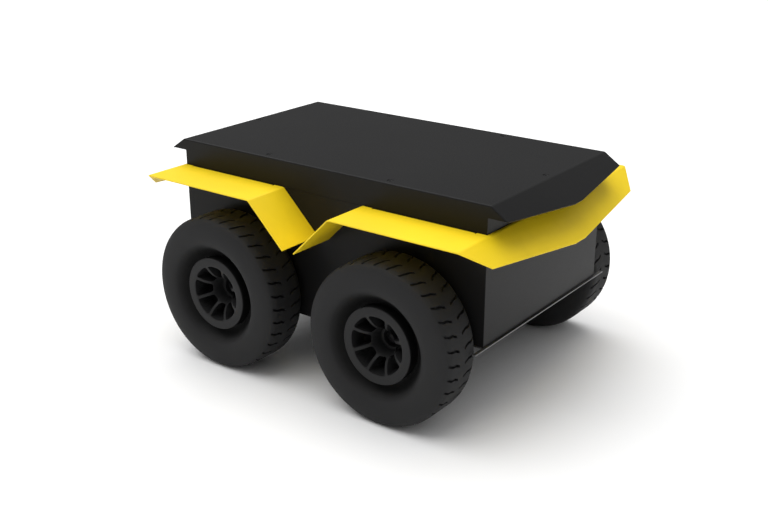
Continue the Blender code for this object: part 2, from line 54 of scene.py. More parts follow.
# ---------------------------------------------------------------- sizes shared with the CAD
SHEET = 0.002                   # thickness of the cover and fender sheet
GAP = 0.0003                    # between pieces that touch
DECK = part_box("top_cover")[1].z
HALF_WIDTH = 0.1775
HALF_FLAT = 0.305
BEAK_CORNER_X = 0.3328          # the beaks are the sloping end panels of the cover
BEAK_TIP = (0.3511, 0.0116)
BEAK_SLOPE = 0.677
SKIRT_DEPTH = 0.0439
BODY_END_X = 0.3005
COVER_BEND = 0.0024

FENDER_TOP = DECK - SKIRT_DEPTH
FENDER_OUTER_Y = 0.2616
FENDER_INNER_X = 0.0791
FENDER_END_X = 0.3044
FENDER_TIP = (0.0104, 0.112)
BUMPER_CORNER = (0.3371, 0.2192)
BUMPER_TIP = (0.3584, 0.0155)
BUMPER_TIP_DEPTH = 0.0908
FLANGE_X = (0.102, 0.281)
FLANGE_HEIGHT = 0.022
RELIEF_WIDTH = 0.003
RELIEF_DEPTH = 0.0045
FENDER_BEND = 0.0026

# wheel: distances from its axle line, and from its middle plane outwards
WHEEL_RADIUS = 0.1295
GROOVE_FLOOR = 0.0142
RIM_BARREL = 0.0515
RING_RADIUS = 0.0614
RING_Y = 0.0335
RING_INNER = 0.0477
RING_SHOULDER = 0.019
BOSS_RADIUS = 0.0235
BOSS_LIP_RADIUS = 0.0185
BOSS_FRONT = -0.0045
BOSS_BACK = -0.026
BORE_RADIUS = 0.0145
HUB_FRONT = -0.016
HUB_SLEEVE_RADIUS = 0.0142
HUB_FLANGE_RADIUS = 0.020
HUB_FLANGE = 0.005
SHAFT_RADIUS = 0.008
BORE_OVER_SHAFT = 0.0083
STUD_RADIUS = 0.006
STUD_ROOT_RADIUS = 0.0055
STUD_END = -0.008
STUD_CHAMFER = 0.0007
THREAD_PITCH = 0.0015
NUT_RADIUS = 0.0125
NUT_HEIGHT = 0.0072
NUT_BORE_RADIUS = 0.0063
BEARING_RADIUS = 0.024
BEARING_NOSE_RADIUS = 0.0155
BEARING_NOSE = 0.0125
BEARING_FLANGE = 0.005
SEAL_RADIUS = 0.0125
SEAL_DEPTH = 0.0112
RIB_COUNT = 8
RIB_HALF_WIDTH = 0.0023
RIB_INNER_RADIUS = 0.0240

SLOT_COUNT = 36                 # round the tyre, in each half of the tread
SLOT_HALF_WIDTH = math.radians(0.92)
SLOT_WALL = math.radians(0.07)
SLOT_DEPTH = 0.0050
# centre line of a tread slot: distance from the tyre's middle and angle, from the shoulder inwards
SLOT_LINE = [(0.0325, 1.9), (0.0243, 0.2), (0.0157, 0.0), (0.0070, -1.9)]


# ---------------------------------------------------------------- materials
# near-black mixed in as painted shade, in the tyre's groove and on the outer wall of the rim's
# ring
PAINTED_SHADE = (0.0025, 0.0025, 0.0025, 1.0)
TYRE_GROOVE = (0.0865, 0.0775)  # radii between which painted shade darkens the tyre's inner slope
RING_WALL = (0.0600, 0.0608)    # radii just inside the outer wall of the rim's ring, over which painted shade fades in
# distances from the wheel's middle plane over which that painted shade fades in below the ring's
# edge
RING_WALL_DEPTH = (0.0330, 0.0290)


class Graph:
    """One procedural material, with short calls for the nodes it is made of."""

    def __init__(self, name, space="Object"):
        self.material = bpy.data.materials.new(name)
        self.material.use_nodes = True
        self.nodes = self.material.node_tree.nodes
        self.links = self.material.node_tree.links
        self.shader = self.nodes["Principled BSDF"]
        self.where = self.nodes.new("ShaderNodeTexCoord").outputs[space]

    def stretched(self, scale):
        mapping = self.nodes.new("ShaderNodeMapping")
        mapping.inputs["Scale"].default_value = scale
        self.links.new(self.where, mapping.inputs["Vector"])
        return mapping.outputs["Vector"]

    def noise(self, scale, detail=3.0, roughness=0.5, vector=None):
        noise = self.nodes.new("ShaderNodeTexNoise")
        noise.inputs["Scale"].default_value = scale
        noise.inputs["Detail"].default_value = detail
        noise.inputs["Roughness"].default_value = roughness
        self.links.new(vector or self.where, noise.inputs["Vector"])
        return noise.outputs["Fac"]

    def cells(self, scale, feature="F1", vector=None):
        cells = self.nodes.new("ShaderNodeTexVoronoi")
        cells.feature = feature
        cells.inputs["Scale"].default_value = scale
        self.links.new(vector or self.where, cells.inputs["Vector"])
        return cells.outputs["Distance"]

    def waves(self, scale, direction, vector=None):
        waves = self.nodes.new("ShaderNodeTexWave")
        waves.bands_direction = direction
        waves.inputs["Scale"].default_value = scale
        self.links.new(vector or self.where, waves.inputs["Vector"])
        return waves.outputs["Fac"]

    def spread(self, value, low, high, start=0.3, end=0.7):
        """Maps a texture value from start..end to low..high."""
        spread = self.nodes.new("ShaderNodeMapRange")
        spread.inputs["From Min"].default_value = start
        spread.inputs["From Max"].default_value = end
        spread.inputs["To Min"].default_value = low
        spread.inputs["To Max"].default_value = high
        self.links.new(value, spread.inputs["Value"])
        return spread.outputs["Result"]

    def blend(self, value, dark, light):
        """Colour between dark and light by a value from 0 to 1."""
        ramp = self.nodes.new("ShaderNodeValToRGB")
        ramp.color_ramp.elements[0].color = (*dark, 1.0)
        ramp.color_ramp.elements[1].color = (*light, 1.0)
        ramp.color_ramp.elements[0].position = 0.3
        ramp.color_ramp.elements[1].position = 0.7
        self.links.new(value, ramp.inputs["Fac"])
        return ramp.outputs["Color"]

    def ramp_between(self, value, start, end):
        """0 at start and 1 at end; either may be the larger."""
        return self.spread(value, 0.0, 1.0, start, end)

    def axle_distance(self):
        flat = self.nodes.new("ShaderNodeVectorMath")
        flat.operation = "MULTIPLY"
        flat.inputs[1].default_value = (1.0, 1.0, 0.0)
        self.links.new(self.where, flat.inputs[0])
        length = self.nodes.new("ShaderNodeVectorMath")
        length.operation = "LENGTH"
        self.links.new(flat.outputs["Vector"], length.inputs[0])
        return length.outputs["Value"]

    def middle_plane_distance(self):
        parts = self.nodes.new("ShaderNodeSeparateXYZ")
        self.links.new(self.where, parts.inputs[0])
        return self.maths("ABSOLUTE", parts.outputs["Z"])

    def maths(self, operation, first, second=None):
        maths = self.nodes.new("ShaderNodeMath")
        maths.operation = operation
        self.links.new(first, maths.inputs[0])
        if second is not None:
            self.links.new(second, maths.inputs[1])
        return maths.outputs[0]

    def with_painted_shade(self, colour, amount):
        """Mixes a colour towards near-black painted shade where the amount is 1."""
        mix = self.nodes.new("ShaderNodeMix")
        mix.data_type = "RGBA"
        mix.inputs["B"].default_value = PAINTED_SHADE
        self.links.new(amount, mix.inputs["Factor"])
        self.links.new(colour, mix.inputs["A"])
        return mix.outputs["Result"]

    def bump(self, height, distance, strength=1.0, before=None):
        bump = self.nodes.new("ShaderNodeBump")
        bump.inputs["Distance"].default_value = distance
        bump.inputs["Strength"].default_value = strength
        self.links.new(height, bump.inputs["Height"])
        if before is not None:
            self.links.new(before, bump.inputs["Normal"])
        return bump.outputs["Normal"]

    def finish(self, colour, roughness, normal, **constants):
        self.links.new(colour, self.shader.inputs["Base Color"])
        self.links.new(roughness, self.shader.inputs["Roughness"])
        self.links.new(normal, self.shader.inputs["Normal"])
        for name, value in constants.items():
            self.shader.inputs[name.replace("_", " ")].default_value = value
        return self.material


def shade(colour, factor):
    return tuple(channel * factor for channel in colour)


def powder_coat(name, colour, roughness, specular):
    """Satin powder coat: fine orange peel, a speckle in the gloss and a slow drift of colour."""
    g = Graph(name)
    drift = g.noise(7.0, 4.0, 0.6)
    peel = g.noise(520.0, 2.0, 0.5)
    grit = g.noise(2100.0, 2.0, 0.6)
    normal = g.bump(grit, 0.00004, 0.5, g.bump(peel, 0.00009, 0.6))
    return g.finish(g.blend(drift, shade(colour, 0.93), shade(colour, 1.07)),
                    g.spread(peel, roughness - 0.05, roughness + 0.05), normal,
                    Specular_IOR_Level=specular)


def moulded_rubber(name, colour, roughness, specular):
    """Matt rubber: dusty patches, fine mould grain, small pits, and painted shade in the groove
    beside the rim.
    """
    g = Graph(name)
    dust = g.noise(26.0, 5.0, 0.65)
    grain = g.noise(1300.0, 3.0, 0.7)
    pits = g.cells(420.0)
    normal = g.bump(pits, 0.00005, 0.35, g.bump(grain, 0.00007, 0.7))
    # painted shade: the inner slope turns near-black from the lip down into the groove beside the
    # rim
    groove_shade = g.ramp_between(g.axle_distance(), *TYRE_GROOVE)
    return g.finish(g.with_painted_shade(g.blend(dust, shade(colour, 0.82), shade(colour, 1.2)), groove_shade),
                    g.spread(dust, roughness - 0.07, roughness + 0.07), normal,
                    Specular_IOR_Level=specular)


def moulded_plastic(name, colour, roughness, specular, wheel=False):
    """Moulded plastic with a spark-eroded grain; on a rim, painted shade darkens its ring's outer
    wall.
    """
    g = Graph(name)
    flow = g.noise(14.0, 3.0, 0.5)
    normal = g.bump(g.cells(900.0, "SMOOTH_F1"), 0.00006, 0.5)
    tint = g.blend(flow, shade(colour, 0.9), shade(colour, 1.12))
    if wheel:
        # painted shade on the ring's outer wall below its edge, where the groove beside the tyre
        # lies in shadow
        outer_wall = g.ramp_between(g.axle_distance(), *RING_WALL)
        below_edge = g.ramp_between(g.middle_plane_distance(), *RING_WALL_DEPTH)
        tint = g.with_painted_shade(tint, g.maths("MULTIPLY", outer_wall, below_edge))
    return g.finish(tint, g.spread(flow, roughness - 0.05, roughness + 0.06), normal,
                    Specular_IOR_Level=specular)


def brushed_metal(name, colour, roughness, grain=(6.0, 900.0, 900.0)):
    """Bare metal with fine scratches along X and a few cloudy handling marks."""
    g = Graph(name)
    scratches = g.noise(1.0, 4.0, 0.7, g.stretched(grain))
    clouds = g.noise(18.0, 4.0, 0.6)
    normal = g.bump(scratches, 0.00003, 0.6)
    return g.finish(g.blend(scratches, shade(colour, 0.86), shade(colour, 1.08)),
                    g.spread(clouds, roughness - 0.07, roughness + 0.1), normal, Metallic=1.0)


def plated_steel(name, colour, roughness):
    """Zinc plate: faint crystal patches under a slightly uneven shine."""
    g = Graph(name)
    crystals = g.cells(260.0)
    haze = g.noise(90.0, 4.0, 0.6)
    normal = g.bump(haze, 0.00003, 0.4)
    return g.finish(g.blend(crystals, shade(colour, 0.88), shade(colour, 1.08)),
                    g.spread(haze, roughness - 0.06, roughness + 0.09), normal, Metallic=1.0)


def oxide_steel(name, colour, roughness):
    """Black oxide on machined steel: mottled, with fine turning marks."""
    g = Graph(name)
    mottle = g.noise(140.0, 5.0, 0.7)
    marks = g.noise(1.0, 3.0, 0.6, g.stretched((300.0, 300.0, 2400.0)))
    normal = g.bump(marks, 0.00002, 0.5)
    return g.finish(g.blend(mottle, shade(colour, 0.7), shade(colour, 1.3)),
                    g.spread(mottle, roughness - 0.08, roughness + 0.08), normal, Metallic=0.8)


def webbing(name, colour):
    """Woven strap: crossing yarns a little under a millimetre apart."""
    g = Graph(name)
    warp = g.waves(330.0, "X")
    weft = g.waves(330.0, "Y")
    fuzz = g.noise(1500.0, 3.0, 0.7)
    normal = g.bump(weft, 0.0002, 0.7, g.bump(warp, 0.0002, 0.7))
    return g.finish(g.blend(fuzz, shade(colour, 0.7), shade(colour, 1.4)),
                    g.spread(fuzz, 0.82, 0.95), normal, Specular_IOR_Level=0.25)


BLACK = powder_coat("black_powder_coat", (0.0098, 0.0098, 0.0101), 0.36, 0.11)
YELLOW = powder_coat("yellow_powder_coat", (0.92, 0.66, 0.012), 0.45, 0.30)
RUBBER = moulded_rubber("tyre_rubber", (0.0150, 0.0150, 0.0155), 0.74, 0.28)
RIM_PLASTIC = moulded_plastic("rim_plastic", (0.0125, 0.0125, 0.0129), 0.52, 0.22, wheel=True)
ALUMINIUM = brushed_metal("brushed_aluminium", (0.60, 0.61, 0.63), 0.36)
CRADLE_METAL = brushed_metal("milled_aluminium", (0.56, 0.57, 0.59), 0.42, (700.0, 5.0, 700.0))
SKID_METAL = brushed_metal("skid_plate_metal", (0.22, 0.22, 0.225), 0.48)
ZINC = plated_steel("zinc_plated_steel", (0.52, 0.53, 0.55), 0.36)
OXIDE = oxide_steel("black_oxide_steel", (0.014, 0.014, 0.015), 0.52)
MOTOR_STEEL = oxide_steel("blackened_motor_steel", (0.075, 0.077, 0.080), 0.42)
PRIMER = powder_coat("black_primer", (0.030, 0.030, 0.032), 0.66, 0.3)
BATTERY_CASE = moulded_plastic("battery_case_plastic", (0.035, 0.060, 0.130), 0.48, 0.4)
BOX_PLASTIC = moulded_plastic("box_plastic", (0.105, 0.107, 0.112), 0.52, 0.4)
STRAP = webbing("strap_webbing", (0.022, 0.022, 0.024))


# ---------------------------------------------------------------- modelling helpers
def mesh_object(name, mesh, mat):
    mesh.materials.clear()
    mesh.materials.append(mat)
    piece = bpy.data.objects.new(name, mesh)
    bpy.context.scene.collection.objects.link(piece)
    return piece


def mesh_from(bm, name):
    bmesh.ops.recalc_face_normals(bm, faces=bm.faces)
    mesh = bpy.data.meshes.new(name)
    bm.to_mesh(mesh)
    bm.free()
    return mesh


def smooth(mesh, angle=30):
    mesh.shade_smooth()
    mesh.set_sharp_from_angle(angle=math.radians(angle))
    return mesh


def bevel_modifier(piece, width, segments=3, angle=35):
    bevel = piece.modifiers.new("edge_radius", "BEVEL")
    bevel.width = width
    bevel.segments = segments
    bevel.limit_method = "ANGLE"
    bevel.angle_limit = math.radians(angle)
    bevel.harden_normals = True
    bevel.use_clamp_overlap = True
    return bevel


def baked(piece):
    """The mesh of a helper object with its modifiers applied; the helper is removed."""
    cutters = [mod.object for mod in piece.modifiers if mod.type == "BOOLEAN"]
    bpy.context.view_layer.update()
    graph = bpy.context.evaluated_depsgraph_get()
    mesh = bpy.data.meshes.new_from_object(piece.evaluated_get(graph))
    mesh.name = piece.name
    for used in [piece] + cutters:
        bpy.data.objects.remove(used, do_unlink=True)
    return mesh


def helper(mesh):
    piece = bpy.data.objects.new(mesh.name, mesh)
    bpy.context.scene.collection.objects.link(piece)
    return piece


def cut(target, cutter_mesh, operation="DIFFERENCE"):
    boolean = target.modifiers.new("cut", "BOOLEAN")
    boolean.operation = operation
    boolean.solver = "EXACT"
    boolean.object = helper(cutter_mesh)


def rounded(profile, radii, steps=4):
    """A profile whose corners are turned into arcs; a radius of 0 keeps a corner."""
    points = []
    count = len(profile)
    for number, (corner, radius) in enumerate(zip(profile, radii)):
        here = Vector(corner)
        before, after = Vector(profile[number - 1]), Vector(profile[(number + 1) % count])
        to_before, to_after = (before - here), (after - here)
        reach = min(radius, to_before.length * 0.45, to_after.length * 0.45)
        if reach <= 0:
            points.append(tuple(here))
            continue
        start = here + to_before.normalized() * reach
        end = here + to_after.normalized() * reach
        for step in range(steps + 1):
            t = step / steps
            points.append(tuple(start * (1 - t) ** 2 + here * 2 * t * (1 - t) + end * t * t))
    return points


def turned(name, profile, steps, closed=True):
    """Turns (radius, height) points about Z. Points on the axis become one vertex."""
    bm = bmesh.new()
    rings = []
    for radius, height in profile:
        if radius < 1e-6:
            rings.append([bm.verts.new((0, 0, height))])
            continue
        angles = [2 * math.pi * step / steps for step in range(steps)]
        rings.append([bm.verts.new((radius * math.cos(a), radius * math.sin(a), height))
                      for a in angles])
    pairs = list(zip(rings, rings[1:]))
    if closed:
        pairs.append((rings[-1], rings[0]))
    for upper, lower in pairs:
        bridge(bm, upper, lower)
    return mesh_from(bm, name)


def bridge(bm, upper, lower):
    """Faces between two rings of vertices, either of which may be a single point."""
    steps = max(len(upper), len(lower))
    if steps == 1:
        return
    for i in range(steps):
        j = (i + 1) % steps
        if len(upper) == 1:
            bm.faces.new((upper[0], lower[j], lower[i]))
        elif len(lower) == 1:
            bm.faces.new((upper[i], upper[j], lower[0]))
        else:
            bm.faces.new((upper[i], upper[j], lower[j], lower[i]))


def pushed_outline(name, outlines, low, high):
    """Flat outlines in XY pushed along Z."""
    bm = bmesh.new()
    for outline in outlines:
        face = bm.faces.new([bm.verts.new((x, y, low)) for x, y in outline])
        pushed = bmesh.ops.extrude_face_region(bm, geom=[face])
        moved = [item for item in pushed["geom"] if isinstance(item, bmesh.types.BMVert)]
        bmesh.ops.translate(bm, vec=(0, 0, high - low), verts=moved)
    return mesh_from(bm, name)


def lay_on_axle(piece, corner, centre):
    """Puts a turned piece on a wheel's axle line with its Z pointing out of that side."""
    side = CORNERS[corner][1]
    piece.matrix_world = Matrix.Translation(centre) @ Matrix.Rotation(-side * math.pi / 2, 4, "X")


def stand_for(piece, node, body):
    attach(piece, body)
    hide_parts(node)


# ---------------------------------------------------------------- folded sheet metal
def flat_normals(piece):
    """Keeps the shading of large flat panels flat up to the start of each bend."""
    weighted = piece.modifiers.new("flat_normals", "WEIGHTED_NORMAL")
    weighted.keep_sharp = True
    weighted.weight = 90
    return piece


def folded_sheet(name, corners, panels, bend, mat, holes=None):
    """Flat panels between named corners, with real bends, the sheet's thickness and any holes."""
    bm = bmesh.new()
    verts = {key: bm.verts.new(point) for key, point in corners.items()}
    for panel in panels:
        bm.faces.new([verts[key] for key in panel])
    bm.normal_update()
    creases = [edge for edge in bm.edges if len(edge.link_faces) == 2
               and edge.calc_face_angle() > math.radians(3)]
    bmesh.ops.bevel(bm, geom=creases, offset=bend, offset_type="OFFSET", segments=6, profile=0.5,
                    affect="EDGES", clamp_overlap=True)
    mesh = bpy.data.meshes.new(name)
    bm.to_mesh(mesh)
    bm.free()
    sheet = helper(mesh)
    solid = sheet.modifiers.new("thickness", "SOLIDIFY")
    solid.thickness = SHEET
    solid.offset = -1.0
    solid.use_even_offset = True
    if holes:
        cut(sheet, holes)
    bevel_modifier(sheet, 0.00035, 2, 50)
    return flat_normals(mesh_object(name, smooth(baked(sheet), 28), mat))


def beak_depth(x):
    return (x - HALF_FLAT) * BEAK_SLOPE


def cover_corners():
    """Corners of the cover's outer skin; F or R is the end and L or R the side."""
    corners = {}
    for end, e in (("F", 1), ("R", -1)):
        for side, s in (("L", 1), ("R", -1)):
            y = s * HALF_WIDTH
            corners[f"{end}{side}top"] = (e * HALF_FLAT, y, DECK)
            corners[f"{end}{side}beak"] = (e * BEAK_CORNER_X, y, DECK - beak_depth(BEAK_CORNER_X))
            corners[f"{end}{side}tip"] = (e * BEAK_TIP[0], s * BEAK_TIP[1],
                                          DECK - beak_depth(BEAK_TIP[0]))
            corners[f"{end}{side}cheek"] = (e * BODY_END_X, y, DECK - beak_depth(BEAK_CORNER_X))
            corners[f"{end}{side}low"] = (e * BODY_END_X, y, FENDER_TOP)
    return corners


def screw_recesses():
    """Countersunk recesses through the cover round its six flat-head screws."""
    outline = [(0.0, 0.001), (0.0053, 0.001), (0.0053, -0.0003), (0.0031, -0.0021),
               (0.0031, -0.004), (0.0, -0.004)]
    bm = bmesh.new()
    for number in range(1, 7):
        low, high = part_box(f"cover_screw_{number}")
        recess = turned("recess", outline, 32, closed=False)
        recess.transform(Matrix.Translation(((low.x + high.x) / 2, (low.y + high.y) / 2, DECK)))
        bm.from_mesh(recess)
    return mesh_from(bm, "screw_recesses")


def build_cover():
    left = ["FLtop", "FLbeak", "FLcheek", "FLlow", "RLlow", "RLcheek", "RLbeak", "RLtop"]
    right = [key[0] + "R" + key[2:] for key in reversed(left)]
    panels = [("FRtop", "FLtop", "RLtop", "RRtop"),
              ("FRtop", "FRbeak", "FRtip", "FLtip", "FLbeak", "FLtop"),
              ("RLtop", "RLbeak", "RLtip", "RRtip", "RRbeak", "RRtop"),
              left, right]
    cover = folded_sheet("top_cover_sheet", cover_corners(), panels, COVER_BEND, BLACK,
                         screw_recesses())
    stand_for(cover, "top_cover", "chassis")
    end_walls(cover)


def end_walls(cover):
    """The two upright walls inside the cover that close the body under each beak."""
    bm = bmesh.new()
    height = (DECK - SHEET) - FENDER_TOP
    for end in (1, -1):
        made = bmesh.ops.create_cube(bm, size=1.0)
        bmesh.ops.scale(bm, vec=(SHEET, 2 * (HALF_WIDTH - SHEET), height), verts=made["verts"])
        place = (end * (BODY_END_X - SHEET / 2), 0, FENDER_TOP + height / 2)
        bmesh.ops.translate(bm, vec=place, verts=made["verts"])
    walls = helper(mesh_from(bm, "cover_end_walls"))
    bevel_modifier(walls, 0.0003, 2)
    piece = mesh_object("cover_end_walls", smooth(baked(walls)), BLACK)
    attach(piece, "chassis")


def fender_corners():
    inner_y = HALF_WIDTH + GAP
    corners = {}
    low_tip = DECK - FENDER_TIP[1]

    def both(key, x, y, z=FENDER_TOP):
        corners["L" + key] = (x, y, z)
        corners["R" + key] = (x, -y, z)

    both("crease_in", FENDER_INNER_X, inner_y)
    both("a_out", FLANGE_X[0] - RELIEF_WIDTH, inner_y)
    both("a_deep", FLANGE_X[0] - RELIEF_WIDTH, inner_y + RELIEF_DEPTH)
    both("a_root", FLANGE_X[0], inner_y + RELIEF_DEPTH)
    both("a_fold", FLANGE_X[0], inner_y)
    both("b_fold", FLANGE_X[1], inner_y)
    both("b_root", FLANGE_X[1], inner_y + RELIEF_DEPTH)
    both("b_deep", FLANGE_X[1] + RELIEF_WIDTH, inner_y + RELIEF_DEPTH)
    both("b_out", FLANGE_X[1] + RELIEF_WIDTH, inner_y)
    both("back", BODY_END_X + GAP, inner_y)
    both("end_out", FENDER_END_X, FENDER_OUTER_Y)
    both("crease_out", FENDER_INNER_X, FENDER_OUTER_Y)
    both("tip_in", FENDER_TIP[0], inner_y, low_tip)
    both("tip_out", FENDER_TIP[0], FENDER_OUTER_Y, low_tip)
    both("a_low", FLANGE_X[0], inner_y, FENDER_TOP - FLANGE_HEIGHT)
    both("b_low", FLANGE_X[1], inner_y, FENDER_TOP - FLANGE_HEIGHT)
    slope = (BUMPER_TIP_DEPTH - SKIRT_DEPTH) / (BUMPER_TIP[0] - FENDER_END_X)
    corner_drop = (BUMPER_CORNER[0] - FENDER_END_X) * slope
    both("bumper_corner", *BUMPER_CORNER, FENDER_TOP - corner_drop)
    both("bumper_tip", *BUMPER_TIP, DECK - BUMPER_TIP_DEPTH)
    return corners


def build_fenders():
    inner = ["crease_in", "a_out", "a_deep", "a_root", "a_fold", "b_fold", "b_root", "b_deep",
             "b_out", "back"]
    outer = ["end_out", "crease_out"]
    flat = (["L" + key for key in inner] + ["R" + key for key in reversed(inner)]
            + ["R" + key for key in reversed(outer)] + ["L" + key for key in outer])
    panels = [flat,
              ("Lcrease_in", "Lcrease_out", "Ltip_out", "Ltip_in"),
              ("Rcrease_out", "Rcrease_in", "Rtip_in", "Rtip_out"),
              ("Lend_out", "Rend_out", "Rbumper_corner", "Rbumper_tip", "Lbumper_tip",
               "Lbumper_corner"),
              ("Lb_fold", "La_fold", "La_low", "Lb_low"),
              ("Ra_fold", "Rb_fold", "Rb_low", "Ra_low")]
    front = folded_sheet("front_fender_sheet", fender_corners(), panels, FENDER_BEND,
                         YELLOW)
    rear = flat_normals(mesh_object("rear_fender_sheet", front.data, YELLOW))
    rear.rotation_euler = (0, 0, math.pi)
    stand_for(front, "front_fender", "chassis")
    stand_for(rear, "rear_fender", "chassis")


# ---------------------------------------------------------------- tyres
def crown(y):
    """Outer radius of the tread at a distance from the tyre's middle plane."""
    over = max(0.0, (abs(y) - 0.024) / 0.010)
    return WHEEL_RADIUS - 0.0030 * over ** 2


def side_wall():
    """(radius, y) down the side wall, over the lip and into the groove beside the rim."""
    knots = [(crown(0.0335), 0.0335), (crown(0.0347), 0.0347), (0.1228, 0.0374), (0.1180, 0.0396),
             (0.1100, 0.0416), (0.1010, 0.0425), (0.0940, 0.0422), (0.0885, 0.0409),
             (0.0845, 0.0383), (0.0810, 0.0343), (0.0774, 0.0294), (0.0740, 0.0243),
             (0.0705, 0.0198), (0.0668, 0.0163), (0.0640, 0.0147), (0.0620, GROOVE_FLOOR)]
    points = []
    for number in range(1, len(knots) - 2):
        span = [Vector(knot) for knot in knots[number - 1:number + 3]]
        for step in range(3):
            points.append(tuple(catmull_rom(span, step / 3)))
    return points + [knots[-2], knots[-1], (RIM_BARREL + GAP, GROOVE_FLOOR)]


def catmull_rom(span, t):
    a, b, c, d = span
    return 0.5 * (2 * b + (c - a) * t + (2 * a - 5 * b + 4 * c - d) * t * t
                  + (3 * b - a - 3 * c + d) * t ** 3)


def tread_rows():
    """(y, turn of the slot's centre line, inside a slot) from the outer shoulder to the middle."""
    shoulder, middle = SLOT_LINE[0], SLOT_LINE[-1]
    lip = 0.0003
    rows = [(shoulder[0] + lip, shoulder[1], 0)]
    for (y0, turn0), (y1, turn1) in zip(SLOT_LINE, SLOT_LINE[1:]):
        for step in range(3):
            t = step / 3
            rows.append((y0 + (y1 - y0) * t, turn0 + (turn1 - turn0) * t, 1))
    rows += [(middle[0], middle[1], 1), (middle[0] - lip, middle[1], 0), (0.0025, middle[1], 0)]
    return rows


def tyre_mesh():
    """Tyre as one grid round the axle, with the slots' rows and columns pressed in."""
    outer = [(y, radius, SLOT_LINE[0][1], 0) for radius, y in reversed(side_wall())]
    outer += [(y, crown(y), turn, inside) for y, turn, inside in tread_rows()]
    rows = outer + [(-y, radius, turn, inside) for y, radius, turn, inside in reversed(outer)]
    columns = [(-SLOT_HALF_WIDTH, 0), (SLOT_WALL - SLOT_HALF_WIDTH, 1),
               (SLOT_HALF_WIDTH - SLOT_WALL, 1), (SLOT_HALF_WIDTH, 0)]
    pitch = 2 * math.pi / SLOT_COUNT
    land = pitch - 2 * SLOT_HALF_WIDTH
    columns += [(SLOT_HALF_WIDTH + land * part / 5, 0) for part in range(1, 5)]
    bm = bmesh.new()
    rings = []
    for y, radius, turn, inside in rows:
        ring = []
        for slot in range(SLOT_COUNT):
            for offset, pressed in columns:
                angle = slot * pitch + offset + math.radians(turn)
                r = radius - SLOT_DEPTH * inside * pressed
                ring.append(bm.verts.new((r * math.cos(angle), r * math.sin(angle), y)))
        rings.append(ring)
    for upper, lower in zip(rings, rings[1:] + rings[:1]):
        bridge(bm, upper, lower)
    return smooth(mesh_from(bm, "tyre_tread"), 32)


# ---------------------------------------------------------------- rims
def rim_section():
    """Rim section with moulded corner radii: flanges, barrel, dished web and hub boss."""
    seat = RING_Y - RING_SHOULDER
    corners = [
        (RING_RADIUS, RING_Y, 0.0011), (RING_RADIUS, seat, 0.0006),
        (RIM_BARREL, seat, 0.0006), (RIM_BARREL, -seat, 0.0006),
        (RING_RADIUS, -seat, 0.0006), (RING_RADIUS, -RING_Y, 0.0011),
        (RING_INNER, -RING_Y, 0.001), (RING_INNER, 0.004, 0.002),
        (BOSS_RADIUS, -0.010, 0.0025), (BOSS_RADIUS, BOSS_BACK, 0.0008),
        (BORE_RADIUS, BOSS_BACK, 0.0006), (BORE_RADIUS, BOSS_FRONT, 0.0010),
        (BOSS_LIP_RADIUS, BOSS_FRONT, 0.0012), (0.0200, 0.0080, 0.006),
        (0.0242, 0.0189, 0.010), (0.0337, 0.0274, 0.010), (RING_INNER, RING_Y, 0.0030),
    ]
    return rounded([(radius, y) for radius, y, _ in corners], [corner for _, _, corner in corners])


def window_outline(number):
    """One opening between two ribs, narrow at the boss and round-shouldered at the ring."""
    middle = 2 * math.pi * number / RIB_COUNT
    spread = math.pi / RIB_COUNT
    near, far = RIB_INNER_RADIUS, RING_INNER - 0.0009
    near_angle = spread - math.asin(RIB_HALF_WIDTH / near)
    far_angle = spread - math.asin(RIB_HALF_WIDTH / far)
    corners = [(near, -near_angle, 0.0022), (near, near_angle, 0.0022)]
    corners += [(far, far_angle, 0.0055), (far + 0.0004, far_angle / 2, 0.0120),
                (far, 0.0, 0.0120), (far + 0.0004, -far_angle / 2, 0.0120),
                (far, -far_angle, 0.0055)]
    points = [(r * math.cos(a + middle), r * math.sin(a + middle)) for r, a, _ in corners]
    return rounded(points, [corner for _, _, corner in corners], 5)


def rim_mesh():
    rim = helper(turned("rim_spider", rim_section(), 120))
    outlines = [window_outline(number) for number in range(RIB_COUNT)]
    cut(rim, pushed_outline("rim_windows", outlines, -0.05, 0.05))
    bevel_modifier(rim, 0.0006, 3, 40)
    return smooth(baked(rim), 32)


# ---------------------------------------------------------------- hubs, shafts, nuts, bearings
def hub_mesh():
    """Sleeve inside the rim's boss, with a flange against the boss's inner side."""
    low = BOSS_BACK - GAP
    profile = [(HUB_SLEEVE_RADIUS, HUB_FRONT), (HUB_SLEEVE_RADIUS, low), (HUB_FLANGE_RADIUS, low),
               (HUB_FLANGE_RADIUS, low - HUB_FLANGE), (BORE_OVER_SHAFT, low - HUB_FLANGE),
               (BORE_OVER_SHAFT, HUB_FRONT)]
    return smooth(turned("wheel_hub", rounded(profile, [0.0005] * 6, 2), 48), 32)


def shaft_mesh(inner_end):
    """Drive shaft with a threaded stud that takes the axle nut."""
    shoulder = HUB_FRONT - GAP
    profile = [(0.0, STUD_END), (0.0053, STUD_END), (STUD_RADIUS, STUD_END - STUD_CHAMFER)]
    for turn in range(5):
        height = STUD_END - 0.0013 - turn * THREAD_PITCH
        profile += [(STUD_RADIUS, height), (STUD_ROOT_RADIUS, height - THREAD_PITCH / 2)]
    profile += [(STUD_RADIUS, shoulder), (SHAFT_RADIUS, shoulder), (SHAFT_RADIUS, inner_end),
                (0.0, inner_end)]
    return smooth(turned("axle_shaft", profile, 48, closed=False), 32)


